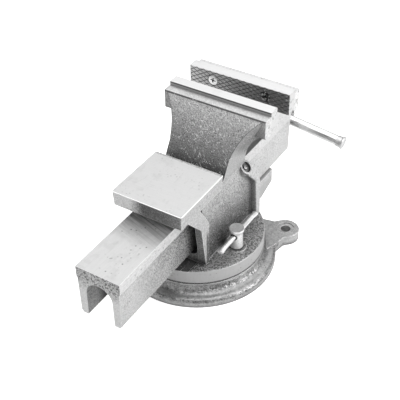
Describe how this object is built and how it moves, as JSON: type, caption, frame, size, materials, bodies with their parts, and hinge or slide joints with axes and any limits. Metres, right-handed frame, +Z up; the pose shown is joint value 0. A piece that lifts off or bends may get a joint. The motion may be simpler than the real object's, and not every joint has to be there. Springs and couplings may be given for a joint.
{
  "type": "bench vise with anvil",
  "caption": "Cast-iron bench vise on a lockable swivel base, with a flat anvil behind the fixed jaw, replaceable jaw plates and a screw turned by a sliding bar.",
  "frame": {"origin": "on the swivel axis, in the plane of the base's bench face", "axes": "+Z up; the screw runs along Y with the moving jaw and its bar towards -Y and the anvil towards +Y; left is -X"},
  "size_m": [0.1786, 0.3898, 0.185],
  "materials": {
    "base_casting": "sand-cast iron under a thin silver-grey coat",
    "body_casting": "sand-cast iron, silver-grey coat, machined bright on the anvil",
    "slide_casting": "sand-cast iron with milled top and upper sides",
    "jaw_plate": "hardened steel, ground top, dark cross-cut gripping face",
    "plate_screw": "bright zinc plate",
    "screw_steel": "turned steel, lightly oiled",
    "washer_steel": "pressed steel",
    "pin_steel": "ground steel",
    "nut_iron": "cast iron, faced and bored",
    "black_bolt": "black oxide",
    "plated_bar": "bright zinc plate",
    "plated_cap": "bright zinc plate",
    "plated_lock": "bright zinc plate",
    "plated_handle": "bright zinc plate",
    "shoe_iron": "cast iron, as cast"
  },
  "bodies": {
    "base": {"base": "base_casting"},
    "vise_body": {"vise_body": "body_casting", "fixed_jaw_plate": "jaw_plate", "fixed_jaw_screws": "plate_screw", "main_nut": "nut_iron", "nut_washer": "washer_steel", "nut_bolt": "black_bolt", "clamp_shoe_left": "shoe_iron", "clamp_shoe_right": "shoe_iron", "guide_screw_left": "pin_steel", "guide_screw_right": "pin_steel"},
    "moving_jaw": {"moving_jaw": "slide_casting", "moving_jaw_plate": "jaw_plate", "moving_jaw_screws": "plate_screw"},
    "spindle": {"spindle": "screw_steel", "thrust_washer": "washer_steel", "retaining_collar": "screw_steel", "collar_pin": "pin_steel"},
    "tommy_bar": {"tommy_bar": "plated_bar", "tommy_bar_cap_left": "plated_cap", "tommy_bar_cap_right": "plated_cap"},
    "lock_screw_left": {"lock_screw_left": "plated_lock"},
    "lock_handle_left": {"lock_handle_left": "plated_handle"},
    "lock_screw_right": {"lock_screw_right": "plated_lock"},
    "lock_handle_right": {"lock_handle_right": "plated_handle"}
  },
  "joints": [
    {"name": "swivel", "type": "hinge", "parent": "base", "child": "vise_body", "pos_m": [0, 0, 0.0223], "axis": [0, 0, 1], "continuous": true},
    {"name": "jaw_slide", "type": "slide", "parent": "vise_body", "child": "moving_jaw", "axis": [0, -1, 0], "range_m": [-0.0277, 0.097]},
    {"name": "spindle_turn", "type": "hinge", "parent": "moving_jaw", "child": "spindle", "pos_m": [0, -0.195, 0.078], "axis": [0, -1, 0], "range_deg": [-1996, 6986]},
    {"name": "tommy_bar_slide", "type": "slide", "parent": "spindle", "child": "tommy_bar", "axis": [0.9921, 0, 0.1253], "range_m": [-0.065, 0.065]},
    {"name": "lock_turn_left", "type": "hinge", "parent": "vise_body", "child": "lock_screw_left", "pos_m": [-0.0545, 0.007, 0.0404], "axis": [0, 0, 1], "range_deg": [-8, 8]},
    {"name": "lock_handle_slide_left", "type": "slide", "parent": "lock_screw_left", "child": "lock_handle_left", "axis": [0, 1, 0], "range_m": [-0.012, 0.012]},
    {"name": "lock_turn_right", "type": "hinge", "parent": "vise_body", "child": "lock_screw_right", "pos_m": [0.0545, 0.007, 0.0404], "axis": [0, 0, 1], "range_deg": [-8, 8]},
    {"name": "lock_handle_slide_right", "type": "slide", "parent": "lock_screw_right", "child": "lock_handle_right", "axis": [0, 1, 0], "range_m": [-0.012, 0.012]}
  ],
  "couplings": [
    {"joint": "spindle_turn", "follows": "jaw_slide", "rad_per_m": 1256.6}
  ]
}
